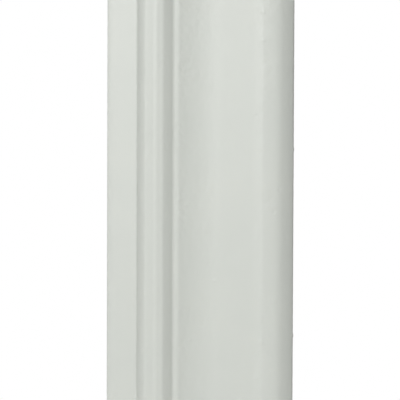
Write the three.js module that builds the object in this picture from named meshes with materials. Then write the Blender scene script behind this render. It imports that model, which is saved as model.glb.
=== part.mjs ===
// A length of door architrave: a moulding machined from one board, painted, with a flat back.
// Millimetres. +Z runs up the door's side, the moulded face looks towards -Y, the flat back lies in the plane y = 0,
// and the origin is the middle of the back. The thick outer edge is at -X, the thin edge beside the door at +X.
import { ExtrudeGeometry, Group, MathUtils, Mesh, MeshStandardMaterial, Shape, Vector2 } from "three";

const WIDTH = 70;
const THICKNESS = 25;
const LENGTH = 152;

// No facet of a rounded stretch turns by more than this.
const FACET_TURN_DEG = 3;

// The face from the outer edge to the inner one. Each stretch is an arc that leaves the one before it smoothly:
// its width across the board, and the slope at its end, in degrees down towards the inner edge.
const OUTER_SLOPE = -90;
const FACE = [
  { name: "outer arris", across: 0.3, slope: -15 },
  { name: "eased edge of the band", across: 2.1, slope: 0 },
  { name: "band", across: 8.15, slope: 0 },
  { name: "band arris", across: 0.7, slope: 48 },
  { name: "cavetto", across: 1.85, slope: 26.5 },
  { name: "heel of the cavetto", across: 1.2, slope: 6 },
  { name: "hollow of the shelf", across: 0.85, slope: 9.5 },
  { name: "shelf", across: 1.35, slope: 10 },
  { name: "swell of the shelf", across: 1.1, slope: 1 },
  { name: "shelf arris", across: 1.2, slope: 18 },
  { name: "splay", across: 1.18, slope: 14 },
  { name: "shoulder", across: 1.1, slope: 44 },
  { name: "ovolo", across: 2.78, slope: 56 },
  { name: "foot of the ovolo", across: 1.2, slope: 9.5 },
  { name: "fillet", across: 0.82, slope: 10 },
  { name: "fillet arris", across: 1.17, slope: 29.5 },
  { name: "cove", across: 13.8, slope: 0 },
  { name: "dip of the field", across: 2.8, slope: 3 },
  { name: "field", across: null, slope: 2.6 },
  { name: "rise of the field", across: 3.6, slope: -6 },
  { name: "field arris", across: 0.95, slope: 7 },
  { name: "roll", across: 4.1, slope: 13.5 },
  { name: "haunch of the roll", across: 3.05, slope: 40 },
  { name: "cheek of the roll", across: 3.6, slope: 52 },
  { name: "nose", across: 0.85, slope: 88 },
];

// The field is as wide as the other stretches leave it.
const othersAcross = FACE.reduce((sum, { across }) => sum + (across ?? 0), 0);
const fieldAcross = WIDTH - othersAcross;

// Points along one stretch, as steps from its start: x across the board, y as the drop towards the back.
function stretchSteps(across, startDeg, endDeg) {
  const start = MathUtils.degToRad(startDeg);
  const end = MathUtils.degToRad(endDeg);
  if (startDeg === endDeg) {
    return [new Vector2(across, across * Math.tan(start))];
  }
  const radius = across / (Math.sin(end) - Math.sin(start));
  const facets = Math.ceil(Math.abs(endDeg - startDeg) / FACET_TURN_DEG);
  return Array.from({ length: facets }, (_, i) => {
    const turn = start + ((end - start) * (i + 1)) / facets;
    const x = radius * (Math.sin(turn) - Math.sin(start));
    const drop = radius * (Math.cos(start) - Math.cos(turn));
    return new Vector2(x, drop);
  });
}

// The whole face as points with y as the drop, from the top of the outer edge to the top of the inner edge.
function facePoints() {
  const points = [new Vector2(0, 0)];
  let slope = OUTER_SLOPE;
  for (const stretch of FACE) {
    const from = points.at(-1);
    const steps = stretchSteps(stretch.across ?? fieldAcross, slope, stretch.slope);
    points.push(...steps.map((step) => step.add(from)));
    slope = stretch.slope;
  }
  const highest = Math.min(...points.map((point) => point.y));
  return points.map((point) => new Vector2(point.x - WIDTH / 2, point.y - highest - THICKNESS));
}

// The section across the board: the flat back, the two square edges and the moulded face.
function section() {
  const backOuter = new Vector2(-WIDTH / 2, 0);
  const backInner = new Vector2(WIDTH / 2, 0);
  return new Shape([backOuter, ...facePoints(), backInner]);
}

const geometry = new ExtrudeGeometry(section(), { depth: LENGTH, steps: 1, bevelEnabled: false });
geometry.translate(0, 0, -LENGTH / 2);

const satinPaint = new MeshStandardMaterial({ color: 0xdfe2dd, roughness: 0.42, metalness: 0 });

const moulding = new Mesh(geometry, satinPaint);
moulding.name = "architrave";

const architrave = new Group();
architrave.add(moulding);
export default architrave;
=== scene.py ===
"""A length of painted door architrave, upright as on a wall, over a pale floor in soft studio light."""

import math

import bpy
import numpy as np
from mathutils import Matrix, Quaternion, Vector


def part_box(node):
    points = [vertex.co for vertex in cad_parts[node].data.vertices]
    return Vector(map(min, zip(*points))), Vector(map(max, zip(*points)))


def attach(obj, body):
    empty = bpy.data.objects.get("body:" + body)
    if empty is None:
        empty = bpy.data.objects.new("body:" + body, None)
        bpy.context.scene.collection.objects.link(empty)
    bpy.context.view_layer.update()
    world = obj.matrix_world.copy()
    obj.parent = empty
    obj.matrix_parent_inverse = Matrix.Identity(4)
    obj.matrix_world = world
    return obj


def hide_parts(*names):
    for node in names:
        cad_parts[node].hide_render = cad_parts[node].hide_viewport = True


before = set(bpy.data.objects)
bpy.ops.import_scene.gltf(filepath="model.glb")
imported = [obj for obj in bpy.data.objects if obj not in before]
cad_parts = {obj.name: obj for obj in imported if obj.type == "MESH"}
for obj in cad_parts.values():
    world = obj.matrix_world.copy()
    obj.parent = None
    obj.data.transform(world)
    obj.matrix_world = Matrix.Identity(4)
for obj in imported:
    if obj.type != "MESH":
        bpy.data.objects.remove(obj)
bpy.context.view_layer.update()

# The architrave
# One run of moulding, machined along a fibreboard and sprayed on its face and both edges. The thick outer
# edge is at -X and the thin edge, beside the door, at +X. The bare flat back lies on the wall, where it is
# glued or pinned.
MM = 0.001
board_low, board_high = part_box("architrave")
width, thickness, length = board_high - board_low

# The face from the outer edge to the inner one. Each stretch is an arc that leaves the one before it
# smoothly. It has its width across in mm, the slope at its end in degrees down to the inner edge, and how
# far the paint's lumps show there: least where the wet coat lay level, most where it hung on a slope. The
# field has no width of its own and takes what the others leave.
OUTER_SLOPE = -90
EDGE_LUMPS = 0.5
FACE = [
    ("outer arris", 0.3, -15, 0.3),
    ("eased edge of the band", 2.1, 0, 0.2),
    ("band", 8.15, 0, 0.2),
    ("band arris", 0.7, 48, 0.9),
    ("cavetto", 1.85, 26.5, 0.7),
    ("heel of the cavetto", 1.2, 6, 0.55),
    ("hollow of the shelf", 0.85, 9.5, 0.45),
    ("shelf", 1.35, 10, 0.45),
    ("swell of the shelf", 1.1, 1, 0.45),
    ("shelf arris", 1.2, 18, 0.6),
    ("splay", 1.18, 14, 0.7),
    ("shoulder", 1.1, 44, 0.8),
    ("ovolo", 2.78, 56, 0.5),
    ("foot of the ovolo", 1.2, 9.5, 0.8),
    ("fillet", 0.82, 10, 0.9),
    ("fillet arris", 1.17, 29.5, 1.6),
    ("cove", 13.8, 0, 0.3),
    ("dip of the field", 2.8, 3, 0.25),
    ("field", None, 2.6, 0.25),
    ("rise of the field", 3.6, -6, 0.8),
    ("field arris", 0.95, 7, 1.1),
    ("roll", 4.1, 13.5, 1.2),
    ("haunch of the roll", 3.05, 40, 0.8),
    ("cheek of the roll", 3.6, 52, 0.6),
    ("nose", 0.85, 88, 0.4),
]
POINT_SPACING = 0.45 * MM
OUTER_EDGE_SPACING = 2 * POINT_SPACING
BACK_SPACING = 5 * MM
TURN_BETWEEN_POINTS = math.radians(3)
LUMPS_DIE_OVER = 2 * MM


def stretch_steps(across, start, end):
    """Steps along an arc of the face from its start: (part of it done, across, drop to the back, slope)."""
    straight = start == end
    radius = 0 if straight else across / (math.sin(end) - math.sin(start))
    run = across / math.cos(start) if straight else abs(radius * (end - start))
    count = math.ceil(max(run / POINT_SPACING, abs(end - start) / TURN_BETWEEN_POINTS))
    for i in range(1, count + 1):
        part = i / count
        slope = start + (end - start) * part
        if straight:
            yield part, across * part, across * part * math.tan(start), slope
        else:
            sideways = radius * (math.sin(slope) - math.sin(start))
            yield part, sideways, radius * (math.cos(start) - math.cos(slope)), slope


def face_points():
    """The face's points, each with its outward direction and how far the lumps show there."""
    field = width - MM * sum(across for _, across, _, _ in FACE if across)
    slope, lumps = math.radians(OUTER_SLOPE), EDGE_LUMPS
    points = [(0.0, 0.0, slope, lumps)]
    for _, across, end_degrees, end_lumps in FACE:
        x, drop = points[-1][:2]
        end_slope = math.radians(end_degrees)
        for part, dx, dy, turned in stretch_steps(across * MM if across else field, slope, end_slope):
            points.append((x + dx, drop + dy, turned, lumps + (end_lumps - lumps) * part))
        slope, lumps = end_slope, end_lumps
    highest = min(drop for _, drop, _, _ in points)
    return [
        (
            Vector((board_low.x + x, board_low.y + drop - highest)),
            (math.sin(slope), -math.cos(slope)),
            lumps,
        )
        for x, drop, slope, lumps in points
    ]


def straight_points(start, end, outward, lumps, spacing):
    """A straight side's points, with its start and without its end. Lumps die away towards the back."""
    count = math.ceil((end - start).length / spacing)
    for i in range(count):
        at = start.lerp(end, i / count)
        yield at, outward, lumps * min(1, (board_high.y - at.y) / LUMPS_DIE_OVER)


face = face_points()
back_outer = Vector((board_low.x, board_high.y))
back_inner = Vector((board_high.x, board_high.y))
outline = [
    *straight_points(back_outer, face[0][0], (-1, 0), EDGE_LUMPS, OUTER_EDGE_SPACING),
    *face[:-1],
    *straight_points(face[-1][0], back_inner, (1, 0), EDGE_LUMPS, POINT_SPACING),
    *straight_points(back_inner, back_outer, (0, 1), 0, BACK_SPACING),
]
section = bpy.data.meshes.new("section")
section.from_pydata(
    [(*at, 0) for at, _, _ in outline],
    [(i, (i + 1) % len(outline)) for i in range(len(outline))],
    [],
)
outward_of = section.attributes.new("outward", "FLOAT_VECTOR", "POINT")
outward_of.data.foreach_set("vector", [v for _, (x, y), _ in outline for v in (x, y, 0)])
lumps_of = section.attributes.new("lumps", "FLOAT", "POINT")
lumps_of.data.foreach_set("value", [lumps for _, _, lumps in outline])
moulding = bpy.data.objects.new("architrave_moulding", section)
bpy.context.scene.collection.objects.link(moulding)


def add(tree, kind, inputs=None, **settings):
    """Adds a node to a tree, with its settings, and with its inputs linked or set."""
    node = tree.nodes.new(kind)
    for name, value in settings.items():
        setattr(node, name, value)
    for name, value in (inputs or {}).items():
        if isinstance(value, bpy.types.NodeSocket):
            tree.links.new(value, node.inputs[name])
        else:
            node.inputs[name].default_value = value
    return node


def linear(hex_colour):
    """An sRGB hex colour as the linear numbers that a shader takes."""
    channels = [int(hex_colour[i : i + 2], 16) / 255 for i in (1, 3, 5)]
    return (*[c / 12.92 if c <= 0.04045 else ((c + 0.055) / 1.055) ** 2.4 for c in channels], 1)


# The paint: off-white satin trim paint, sprayed. It keeps a fine orange peel that breaks up the gloss, and
# a faint clouding where the coat lies thicker or thinner.
PAINT = "#E1E4DD"
PAINT_THIN = "#DCE0DA"
PEEL = 0.9 * MM
PEEL_HEIGHT = 0.004 * MM
CLOUD = 22 * MM
SATIN_SMOOTHEST = 0.38
SATIN_ROUGHEST = 0.46

paint = bpy.data.materials.new("sprayed_satin_trim_paint")
paint.use_nodes = True
tree = paint.node_tree
place = add(tree, "ShaderNodeTexCoord").outputs["Object"]
peel = add(tree, "ShaderNodeTexNoise", {"Vector": place, "Scale": 1 / PEEL, "Detail": 2.0})
peel_bump = add(tree, "ShaderNodeBump", {"Height": peel.outputs["Fac"], "Distance": PEEL_HEIGHT})
cloud = add(tree, "ShaderNodeTexNoise", {"Vector": place, "Scale": 1 / CLOUD, "Detail": 3.0})
coat = add(
    tree,
    "ShaderNodeMix",
    {0: cloud.outputs["Fac"], 6: linear(PAINT_THIN), 7: linear(PAINT)},
    data_type="RGBA",
)
gloss = add(
    tree,
    "ShaderNodeMapRange",
    {"Value": peel.outputs["Fac"], "To Min": SATIN_SMOOTHEST, "To Max": SATIN_ROUGHEST},
)
shader = tree.nodes["Principled BSDF"]
shader.inputs["IOR"].default_value = 1.5
tree.links.new(coat.outputs[2], shader.inputs["Base Color"])
tree.links.new(gloss.outputs["Result"], shader.inputs["Roughness"])
tree.links.new(peel_bump.outputs["Normal"], shader.inputs["Normal"])

# The sawn ends: bare fibreboard, a tan felt of short fibres pressed flat along the board. It is denser and
# darker towards the board's two faces, and the saw leaves it matt, with faint curved lines. The lines are
# drawn coarser than a saw's teeth leave them, so that they show.
CORE = "#C6A67C"
CORE_DARK = "#A98658"
SKIN = "#9B774B"
SKIN_DEEP = 2.6 * MM
FIBRE_LONG = 1.6 * MM
FIBRE_THICK = 0.35 * MM
FIBRE_HEIGHT = 0.03 * MM
SAW_LINE = 1.1 * MM
SAW_LINE_HEIGHT = 0.015 * MM
SAW_CENTRE = (125 * MM, 62.5 * MM, 0)
# How far the wave texture runs through its sine in one metre at scale 1.
WAVE_RADIANS = 20

core = bpy.data.materials.new("sawn_fibreboard")
core.use_nodes = True
tree = core.node_tree
place = add(tree, "ShaderNodeTexCoord").outputs["Object"]
fibre_size = (1 / FIBRE_LONG, 1 / FIBRE_THICK, 1 / FIBRE_LONG)
flat = add(tree, "ShaderNodeMapping", {"Vector": place, "Scale": fibre_size})
fibre = add(tree, "ShaderNodeTexNoise", {"Vector": flat.outputs["Vector"], "Scale": 1.0, "Detail": 4.0})
fibre_bump = add(tree, "ShaderNodeBump", {"Height": fibre.outputs["Fac"], "Distance": FIBRE_HEIGHT})
felt = add(
    tree,
    "ShaderNodeMix",
    {0: fibre.outputs["Fac"], 6: linear(CORE_DARK), 7: linear(CORE)},
    data_type="RGBA",
)
deep = add(tree, "ShaderNodeSeparateXYZ", {"Vector": place})
from_centre = add(tree, "ShaderNodeMath", {0: deep.outputs["Y"], 1: thickness / 2}, operation="ADD")
off_centre = add(tree, "ShaderNodeMath", {0: from_centre.outputs[0]}, operation="ABSOLUTE")
pressed_hard = add(
    tree,
    "ShaderNodeMapRange",
    {"Value": off_centre.outputs[0], "From Min": thickness / 2 - SKIN_DEEP, "From Max": thickness / 2},
    interpolation_type="SMOOTHSTEP",
)
layered = add(
    tree,
    "ShaderNodeMix",
    {0: pressed_hard.outputs["Result"], 6: felt.outputs[2], 7: linear(SKIN)},
    data_type="RGBA",
)
from_saw = add(tree, "ShaderNodeVectorMath", {0: place, 1: SAW_CENTRE}, operation="SUBTRACT")
saw_lines = add(
    tree,
    "ShaderNodeTexWave",
    {"Vector": from_saw.outputs[0], "Scale": 2 * math.pi / (WAVE_RADIANS * SAW_LINE), "Distortion": 0.6},
    wave_type="RINGS",
    rings_direction="Z",
)
saw_bump = add(
    tree,
    "ShaderNodeBump",
    {
        "Height": saw_lines.outputs["Fac"],
        "Distance": SAW_LINE_HEIGHT,
        "Normal": fibre_bump.outputs["Normal"],
    },
)
shader = tree.nodes["Principled BSDF"]
shader.inputs["Roughness"].default_value = 0.9
tree.links.new(layered.outputs[2], shader.inputs["Base Color"])
tree.links.new(saw_bump.outputs["Normal"], shader.inputs["Normal"])

# The back: fibreboard as the press and the sander left it, smoother and a little darker than the sawn core,
# mottled and faintly lined along the board. Spray that drifted round both edges has misted it there: the
# mist starts about its reach in from each edge, and thickens over the fade.
BACK = "#B9976C"
BACK_DARK = "#A68459"
FLECK = 2.5 * MM
SANDING = (1.2 * MM, 1.2 * MM, 70 * MM)
MIST_REACH = 5 * MM
MIST_FADE = 6.25 * MM
MIST_WANDER = 5 * MM
MIST_DROP = 0.8 * MM

back = bpy.data.materials.new("sanded_fibreboard")
back.use_nodes = True
tree = back.node_tree
place = add(tree, "ShaderNodeTexCoord").outputs["Object"]
fleck = add(tree, "ShaderNodeTexNoise", {"Vector": place, "Scale": 1 / FLECK, "Detail": 5.0})
drawn_out = add(tree, "ShaderNodeVectorMath", {0: place, 1: SANDING}, operation="DIVIDE")
lines = add(tree, "ShaderNodeTexNoise", {"Vector": drawn_out.outputs[0], "Scale": 1.0, "Detail": 3.0})
tone = add(tree, "ShaderNodeMix", {0: 0.5, 2: fleck.outputs["Fac"], 3: lines.outputs["Fac"]})
pressed = add(
    tree,
    "ShaderNodeMix",
    {0: tone.outputs[0], 6: linear(BACK_DARK), 7: linear(BACK)},
    data_type="RGBA",
)
across = add(tree, "ShaderNodeSeparateXYZ", {"Vector": place})
from_middle = add(tree, "ShaderNodeMath", {0: across.outputs["X"]}, operation="ABSOLUTE")
wander = add(tree, "ShaderNodeTexNoise", {"Vector": place, "Scale": 1 / MIST_WANDER, "Detail": 2.0})
drops = add(tree, "ShaderNodeTexNoise", {"Vector": place, "Scale": 1 / MIST_DROP, "Detail": 3.0})
ragged = add(tree, "ShaderNodeMath", {0: wander.outputs["Fac"], 1: drops.outputs["Fac"]}, operation="ADD")
reach = add(
    tree,
    "ShaderNodeMath",
    {0: ragged.outputs[0], 1: MIST_REACH, 2: from_middle.outputs[0]},
    operation="MULTIPLY_ADD",
)
mist = add(
    tree,
    "ShaderNodeMapRange",
    {"Value": reach.outputs[0], "From Min": width / 2, "From Max": width / 2 + MIST_FADE},
    interpolation_type="SMOOTHSTEP",
)
sprayed = add(
    tree,
    "ShaderNodeMix",
    {0: mist.outputs["Result"], 6: pressed.outputs[2], 7: linear(PAINT)},
    data_type="RGBA",
)
shader = tree.nodes["Principled BSDF"]
shader.inputs["Roughness"].default_value = 0.75
tree.links.new(sprayed.outputs[2], shader.inputs["Base Color"])

# The moulding is the section drawn straight along the board, with the sprayed coat's soft lumps raised from
# it. They lie a little across the board, after the cutter's marks below, and are thin in some patches and
# thick in others. Their height is the noise's whole range: nearly all of the coat stays within 0.06 mm of
# the section.

# A noise lies between these two nearly everywhere.
NOISE_LOW = 0.35
NOISE_HIGH = 0.65
# An edge that bends further than this stays crisp.
CRISP_BEND = math.radians(30)
# A facet looks along an axis where this much of its normal lies along it.
FACING = 0.9

tree = bpy.data.node_groups.new("run_of_moulding", "GeometryNodeTree")
tree.interface.new_socket("Section", in_out="INPUT", socket_type="NodeSocketGeometry")
sizes = {
    "Length": length,
    "Row Spacing": 0.5 * MM,
    "Lump Across": 2.7 * MM,
    "Lump Along": 2.3 * MM,
    "Lump Height": 0.3 * MM,
    "Patch": 12 * MM,
    "Thin Patch": 0.35,
    "Thick Patch": 1.5,
    "Seed": 7.0,
}
sockets = {
    name: tree.interface.new_socket(name, in_out="INPUT", socket_type="NodeSocketFloat") for name in sizes
}
tree.interface.new_socket("Moulding", in_out="OUTPUT", socket_type="NodeSocketGeometry")
given = add(tree, "NodeGroupInput").outputs

half = add(tree, "ShaderNodeMath", {0: given["Length"], 1: 0.5}, operation="MULTIPLY")
low = add(tree, "ShaderNodeMath", {0: half.outputs[0], 1: -1.0}, operation="MULTIPLY")
foot = add(tree, "ShaderNodeCombineXYZ", {"Z": low.outputs[0]})
head = add(tree, "ShaderNodeCombineXYZ", {"Z": half.outputs[0]})
rail = add(tree, "GeometryNodeCurvePrimitiveLine", {"Start": foot.outputs[0], "End": head.outputs[0]})
rows = add(
    tree,
    "GeometryNodeResampleCurve",
    {"Curve": rail.outputs[0], "Length": given["Row Spacing"]},
    mode="LENGTH",
)
drawn = add(tree, "GeometryNodeMeshToCurve", {"Mesh": given["Section"]})
run = add(
    tree,
    "GeometryNodeCurveToMesh",
    {"Curve": rows.outputs[0], "Profile Curve": drawn.outputs[0], "Fill Caps": True},
)

at = add(tree, "GeometryNodeInputPosition")
size = add(
    tree,
    "ShaderNodeCombineXYZ",
    {"X": given["Lump Across"], "Y": given["Lump Across"], "Z": given["Lump Along"]},
)
scaled = add(tree, "ShaderNodeVectorMath", {0: at.outputs[0], 1: size.outputs[0]}, operation="DIVIDE")
noise = add(
    tree,
    "ShaderNodeTexNoise",
    {"Vector": scaled.outputs[0], "W": given["Seed"], "Scale": 1.0, "Detail": 2.0},
    noise_dimensions="4D",
)
centred = add(tree, "ShaderNodeMath", {0: noise.outputs["Fac"], 1: 0.5}, operation="SUBTRACT")
lump = add(tree, "ShaderNodeMath", {0: centred.outputs[0], 1: given["Lump Height"]}, operation="MULTIPLY")
outward_here = add(tree, "GeometryNodeInputNamedAttribute", {"Name": "outward"}, data_type="FLOAT_VECTOR")
lumps_here = add(tree, "GeometryNodeInputNamedAttribute", {"Name": "lumps"}, data_type="FLOAT")
settled = add(tree, "ShaderNodeMath", {0: lump.outputs[0], 1: lumps_here.outputs[0]}, operation="MULTIPLY")
to_patch = add(tree, "ShaderNodeMath", {0: 1.0, 1: given["Patch"]}, operation="DIVIDE")
patch = add(
    tree,
    "ShaderNodeTexNoise",
    {"Vector": at.outputs[0], "W": given["Seed"], "Scale": to_patch.outputs[0], "Detail": 1.0},
    noise_dimensions="4D",
)
patchy = add(
    tree,
    "ShaderNodeMapRange",
    {
        "Value": patch.outputs["Fac"],
        "From Min": NOISE_LOW,
        "From Max": NOISE_HIGH,
        "To Min": given["Thin Patch"],
        "To Max": given["Thick Patch"],
    },
)
height = add(
    tree,
    "ShaderNodeMath",
    {0: settled.outputs[0], 1: patchy.outputs["Result"]},
    operation="MULTIPLY",
)
raised = add(
    tree,
    "ShaderNodeVectorMath",
    {0: outward_here.outputs[0], "Scale": height.outputs[0]},
    operation="SCALE",
)
relief = add(tree, "GeometryNodeSetPosition", {"Geometry": run.outputs[0], "Offset": raised.outputs[0]})

bend = add(tree, "GeometryNodeInputMeshEdgeAngle")
gentle = add(tree, "ShaderNodeMath", {0: bend.outputs[0], 1: CRISP_BEND}, operation="LESS_THAN")
smooth = add(tree, "GeometryNodeSetShadeSmooth", {"Geometry": relief.outputs[0], "Shade Smooth": True})
crisp = add(
    tree,
    "GeometryNodeSetShadeSmooth",
    {"Geometry": smooth.outputs[0], "Shade Smooth": gentle.outputs[0]},
    domain="EDGE",
)
facing = add(tree, "GeometryNodeInputNormal")
facing_parts = add(tree, "ShaderNodeSeparateXYZ", {"Vector": facing.outputs[0]})
towards_end = add(tree, "ShaderNodeMath", {0: facing_parts.outputs["Z"]}, operation="ABSOLUTE")
is_end = add(
    tree,
    "FunctionNodeCompare",
    {0: towards_end.outputs[0], 1: FACING},
    operation="GREATER_THAN",
)
is_back = add(
    tree,
    "FunctionNodeCompare",
    {0: facing_parts.outputs["Y"], 1: FACING},
    operation="GREATER_THAN",
)
whole = add(tree, "GeometryNodeRealizeInstances", {"Geometry": crisp.outputs[0]})
coated = add(tree, "GeometryNodeSetMaterial", {"Geometry": whole.outputs[0], "Material": paint})
sawn = add(
    tree,
    "GeometryNodeSetMaterial",
    {"Geometry": coated.outputs[0], "Selection": is_end.outputs[0], "Material": core},
)
backed = add(
    tree,
    "GeometryNodeSetMaterial",
    {"Geometry": sawn.outputs[0], "Selection": is_back.outputs[0], "Material": back},
)
add(tree, "NodeGroupOutput", {"Moulding": backed.outputs[0]})

modifier = moulding.modifiers.new("run_of_moulding", "NODES")
modifier.node_group = tree
for name, value in sizes.items():
    modifier[sockets[name].identifier] = value
depsgraph = bpy.context.evaluated_depsgraph_get()
solid = bpy.data.meshes.new_from_object(moulding.evaluated_get(depsgraph))
moulding.modifiers.clear()
moulding.data = solid

# The larger marks in the coat: nibs, which stand up, and pits.
MARKS = [
    # across and up from the middle of the face, radius, height; all in mm
    (-4, -52, 0.5, 0.26),
    (0.5, -72.5, 0.5, 0.22),
    (5, -30, 0.6, 0.18),
    (20, 33, 0.5, 0.2),
    (21, -67, 0.6, 0.12),
    (23, 71, 0.7, 0.14),
    (23, 60.5, 0.8, 0.16),
    (23.5, 43, 0.8, 0.12),
    (23, -53, 0.8, 0.15),
    (28, 42, 0.5, -0.14),
    (27.5, -4, 0.5, -0.22),
    (29.5, 4.5, 0.5, -0.3),
    (34.9, 19.5, 0.6, 0.2),
    (34.9, -51.3, 0.6, 0.28),
]
# A point is on the face where its outward direction turns forward by more than this.
TURNED_FORWARD = 0.02

points = np.empty(3 * len(solid.vertices), np.float32)
outward = np.empty_like(points)
solid.vertices.foreach_get("co", points)
solid.attributes["outward"].data.foreach_get("vector", outward)
points, outward = points.reshape(-1, 3), outward.reshape(-1, 3)
on_face = outward[:, 1] < -TURNED_FORWARD
for across, up, radius, height in MARKS:
    away = np.hypot(points[:, 0] - across * MM, points[:, 2] - up * MM) / (radius * MM)
    points += outward * (height * MM * np.exp(-(away**2)) * on_face)[:, None]
solid.vertices.foreach_set("co", points.ravel())
for name in ("outward", "lumps"):
    solid.attributes.remove(solid.attributes[name])
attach(moulding, "root")
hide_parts("architrave")

# The floor
# A plain pale disc, matt as painted board is. It lies well below the length, which is held up as on a wall,
# and fades out into the backdrop.
FLOOR_DROP = 0.5
FLOOR_RADIUS = 2.5
FLOOR_FADE_FROM = 0.6
FLOOR_CORNERS = 96
FLOOR = "#F4F4F2"

ground = bpy.data.materials.new("matt_studio_floor")
ground.use_nodes = True
tree = ground.node_tree
place = add(tree, "ShaderNodeTexCoord").outputs["Object"]
from_centre = add(tree, "ShaderNodeVectorMath", {0: place}, operation="LENGTH")
fade = add(
    tree,
    "ShaderNodeMapRange",
    {
        "Value": from_centre.outputs["Value"],
        "From Min": FLOOR_FADE_FROM,
        "From Max": FLOOR_RADIUS,
        "To Min": 1.0,
        "To Max": 0.0,
    },
    interpolation_type="SMOOTHSTEP",
)
shader = tree.nodes["Principled BSDF"]
shader.inputs["Base Color"].default_value = linear(FLOOR)
shader.inputs["Roughness"].default_value = 0.8
tree.links.new(fade.outputs["Result"], shader.inputs["Alpha"])

rim = [2 * math.pi * i / FLOOR_CORNERS for i in range(FLOOR_CORNERS)]
disc = bpy.data.meshes.new("floor")
disc.from_pydata(
    [(FLOOR_RADIUS * math.cos(a), FLOOR_RADIUS * math.sin(a), -FLOOR_DROP) for a in rim],
    [],
    [range(len(rim))],
)
disc.materials.append(ground)
floor = bpy.data.objects.new("floor", disc)
bpy.context.scene.collection.objects.link(floor)

# The light
# A soft box in front, a little to the left and above, weak ones behind and beside the outer edge, a wide
# one overhead that lights the floor, and a pale room all round. The backdrop is plain white.
ROOM = 0.058
BACKDROP = 1.0
SOFT_BOXES = {
    # name: (round from the front in degrees, up in degrees, distance, side of the box, watts)
    "front_box": (-4, 20, 0.88, 0.57, 5.04),
    "back_box": (160, 35, 1.6, 0.9, 9.5),
    "side_box": (-112, 20, 1.6, 0.9, 4.5),
    "top_box": (180, 80, 2.4, 2.2, 60.0),
}


def direction(azimuth, elevation):
    """A unit vector from the object: azimuth 0 is straight in front of the face, positive to the right."""
    a, e = math.radians(azimuth), math.radians(elevation)
    return Vector((math.sin(a) * math.cos(e), -math.cos(a) * math.cos(e), math.sin(e)))


for name, (azimuth, elevation, distance, side, watts) in SOFT_BOXES.items():
    lamp = bpy.data.lights.new(name, "AREA")
    lamp.size = side
    lamp.energy = watts
    box = bpy.data.objects.new(name, lamp)
    box.location = direction(azimuth, elevation) * distance
    box.rotation_mode = "QUATERNION"
    box.rotation_quaternion = (-box.location).to_track_quat("-Z", "Y")
    box.visible_camera = False
    bpy.context.scene.collection.objects.link(box)

world = bpy.data.worlds.new("pale_room")
world.use_nodes = True
bpy.context.scene.world = world
tree = world.node_tree
tree.nodes.clear()
seen = add(tree, "ShaderNodeLightPath").outputs["Is Camera Ray"]
room = add(tree, "ShaderNodeBackground", {"Color": (1, 1, 1, 1), "Strength": ROOM})
backdrop = add(tree, "ShaderNodeBackground", {"Color": (1, 1, 1, 1), "Strength": BACKDROP})
mixed = add(tree, "ShaderNodeMixShader", {0: seen, 1: room.outputs[0], 2: backdrop.outputs[0]})
add(tree, "ShaderNodeOutputWorld", {"Surface": mixed.outputs[0]})
bpy.context.scene.view_settings.view_transform = "Standard"

# The camera
# A long lens straight in front, from slightly above, turned a hair as the photograph is.
CAMERA_DISTANCE = 0.903
LOOKING_DOWN = 2.2
TILT = 0.21
SENSOR = 36.0
LENS = 212.9
VIEW_CENTRE = Vector((-0.51, 0, 0)) * MM

camera_data = bpy.data.cameras.new("camera")
camera_data.sensor_width = SENSOR
camera_data.lens = LENS
camera = bpy.data.objects.new("camera", camera_data)
camera.location = VIEW_CENTRE + direction(0, LOOKING_DOWN) * CAMERA_DISTANCE
camera.rotation_mode = "QUATERNION"
looking = (VIEW_CENTRE - camera.location).to_track_quat("-Z", "Y")
camera.rotation_quaternion = looking @ Quaternion((0, 0, 1), math.radians(TILT))
bpy.context.scene.collection.objects.link(camera)
bpy.context.scene.camera = camera
